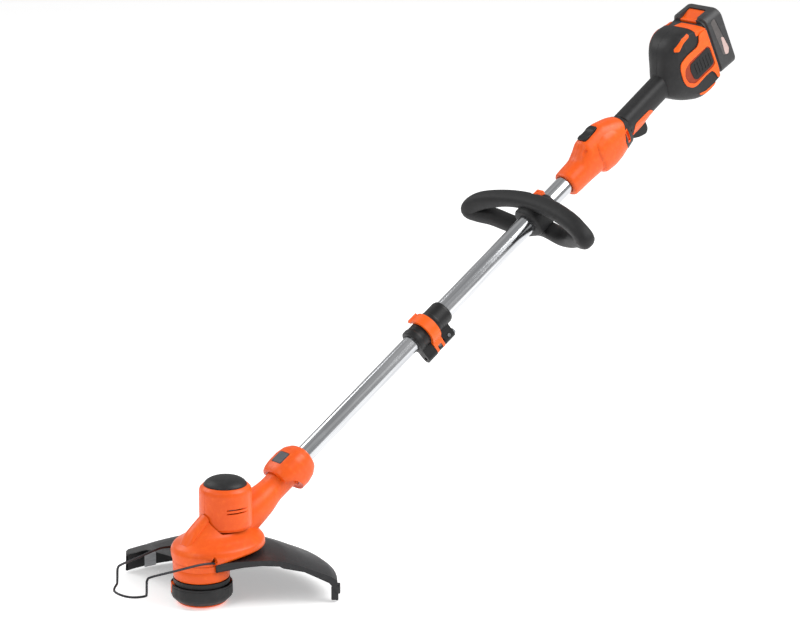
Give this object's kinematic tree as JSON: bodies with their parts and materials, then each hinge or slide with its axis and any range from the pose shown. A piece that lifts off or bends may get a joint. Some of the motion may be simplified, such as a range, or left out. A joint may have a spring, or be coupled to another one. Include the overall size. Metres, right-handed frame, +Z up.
{
  "type": "string trimmer",
  "caption": "Battery string trimmer: telescoping two-tube shaft, turning motor head with guard and wire edge guide, loop handle, trigger grip and slide-on battery.",
  "frame": {"origin": "centre of the spool knob's bottom face, on the spool axis, where the head meets the ground", "axes": "+Z up along the spool axis, +X towards the user end of the shaft, +Y to the right-hand side seen from the head"},
  "size_m": [1.1204, 0.284, 0.6978],
  "materials": {
    "orange_plastic": "satin moulded orange",
    "charcoal_plastic": "fine-grained charcoal",
    "black_plastic": "matt black",
    "battery_plastic": "fine-grained dark grey",
    "grey_plastic": "smooth mid grey",
    "alloy": "polished tube",
    "steel": "ground",
    "cutter_steel": "pressed sheet",
    "wire": "dark coated wire",
    "brass": "turned",
    "nylon": "natural nylon",
    "line": "wound cutting line",
    "copper": "windings",
    "board": "circuit board"
  },
  "bodies": {
    "handle": {"upper_tube": "alloy", "coiled_lead": "black_plastic", "clamp_body": "black_plastic", "clamp_pin": "steel", "switch_housing_left": "orange_plastic", "switch_housing_right": "orange_plastic", "handle_left": "charcoal_plastic", "handle_right": "charcoal_plastic", "trigger_trim": "orange_plastic", "trigger_switch": "black_plastic", "controller_board": "board", "battery_receiver": "black_plastic", "side_panel_left": "orange_plastic", "side_panel_right": "orange_plastic", "vent_plate_left": "black_plastic", "vent_plate_right": "black_plastic"},
    "lower_shaft": {"lower_tube": "alloy", "lower_lead": "black_plastic", "collar_left": "orange_plastic", "collar_right": "orange_plastic"},
    "head": {"motor_housing_left": "orange_plastic", "motor_housing_right": "orange_plastic", "motor_cap": "charcoal_plastic", "motor_can": "steel", "gearbox_deck": "orange_plastic", "gearbox_base": "orange_plastic", "lower_bearing": "steel", "upper_bearing": "steel", "guard": "charcoal_plastic", "line_cutter": "cutter_steel"},
    "clamp_lever": {"clamp_lever": "orange_plastic"},
    "head_button": {"head_button": "grey_plastic"},
    "aux_handle": {"aux_handle": "charcoal_plastic", "aux_clamp_cap": "charcoal_plastic"},
    "aux_button": {"aux_button": "orange_plastic"},
    "lock_button": {"lock_button": "black_plastic"},
    "trigger": {"trigger": "black_plastic"},
    "battery": {"battery_case": "battery_plastic", "battery_cells": "steel"},
    "battery_latch": {"battery_latch": "orange_plastic"},
    "edge_guide": {"edge_guide": "wire"},
    "rotor": {"motor_armature": "copper", "motor_pinion": "steel"},
    "spindle": {"spindle": "steel", "drive_gear": "nylon", "spool_driver": "black_plastic", "spool_cap": "charcoal_plastic", "line_eyelet": "brass", "spool_spring": "steel"},
    "release_tab_front": {"release_tab_front": "orange_plastic"},
    "release_tab_rear": {"release_tab_rear": "orange_plastic"},
    "spool": {"spool": "black_plastic", "wound_line": "line", "spool_knob": "orange_plastic"}
  },
  "joints": [
    {"name": "telescope", "type": "slide", "parent": "handle", "child": "lower_shaft", "axis": [-0.849, 0, -0.5284], "range_m": [-0.1, 0.12]},
    {"name": "head_turn", "type": "hinge", "parent": "lower_shaft", "child": "head", "pos_m": [0.1513, 0, 0.15], "axis": [0.849, 0, 0.5284], "range_deg": [0, 180]},
    {"name": "clamp_lever_hinge", "type": "hinge", "parent": "handle", "child": "clamp_lever", "pos_m": [0.41374, -0.0106, 0.27904], "axis": [0.849, 0, 0.5284], "range_deg": [0, 100]},
    {"name": "head_button_press", "type": "slide", "parent": "lower_shaft", "child": "head_button", "axis": [0.5284, 0, -0.849], "range_m": [0, 0.0024], "stiffness_N_per_m": 500, "springref_m": -0.002},
    {"name": "aux_handle_slide", "type": "slide", "parent": "handle", "child": "aux_handle", "axis": [0.849, 0, 0.5284], "range_m": [-0.15, 0.03]},
    {"name": "aux_button_press", "type": "slide", "parent": "aux_handle", "child": "aux_button", "axis": [0.5284, 0, -0.849], "range_m": [0, 0.0025], "stiffness_N_per_m": 500, "springref_m": -0.002},
    {"name": "lock_button_press", "type": "slide", "parent": "handle", "child": "lock_button", "axis": [0.5284, 0, -0.849], "range_m": [0, 0.0035], "stiffness_N_per_m": 500, "springref_m": -0.002},
    {"name": "trigger_squeeze", "type": "hinge", "parent": "handle", "child": "trigger", "pos_m": [0.79224, 0, 0.5301], "axis": [0, -1, 0], "range_deg": [0, 10], "stiffness_Nm_per_rad": 0.8, "springref_deg": -5.73},
    {"name": "battery_slide", "type": "slide", "parent": "handle", "child": "battery", "axis": [-0.4384, 0, 0.8988], "range_m": [0, 0.09]},
    {"name": "battery_latch_press", "type": "slide", "parent": "battery", "child": "battery_latch", "axis": [0.4384, 0, -0.8988], "range_m": [0, 0.0025], "stiffness_N_per_m": 500, "springref_m": -0.002},
    {"name": "edge_guide_fold", "type": "hinge", "parent": "head", "child": "edge_guide", "pos_m": [-0.012, 0, 0.067], "axis": [0, 1, 0], "range_deg": [0, 55]},
    {"name": "spindle_spin", "type": "hinge", "parent": "head", "child": "spindle", "pos_m": [0, 0, 0.05], "axis": [0, 0, 1], "continuous": true},
    {"name": "motor_spin", "type": "hinge", "parent": "head", "child": "rotor", "pos_m": [0.042, 0, 0.1], "axis": [0, 0, 1], "continuous": true},
    {"name": "spool_spin", "type": "hinge", "parent": "spindle", "child": "spool", "pos_m": [0, 0, 0.018], "axis": [0, 0, 1], "continuous": true},
    {"name": "release_tab_front_press", "type": "slide", "parent": "spindle", "child": "release_tab_front", "axis": [0.848, -0.5299, 0], "range_m": [0, 0.002], "stiffness_N_per_m": 500, "springref_m": -0.002},
    {"name": "release_tab_rear_press", "type": "slide", "parent": "spindle", "child": "release_tab_rear", "axis": [-0.848, 0.5299, 0], "range_m": [0, 0.002], "stiffness_N_per_m": 500, "springref_m": -0.002}
  ],
  "couplings": [
    {"joint": "motor_spin", "follows": "spindle_spin", "ratio": -3.3333}
  ]
}
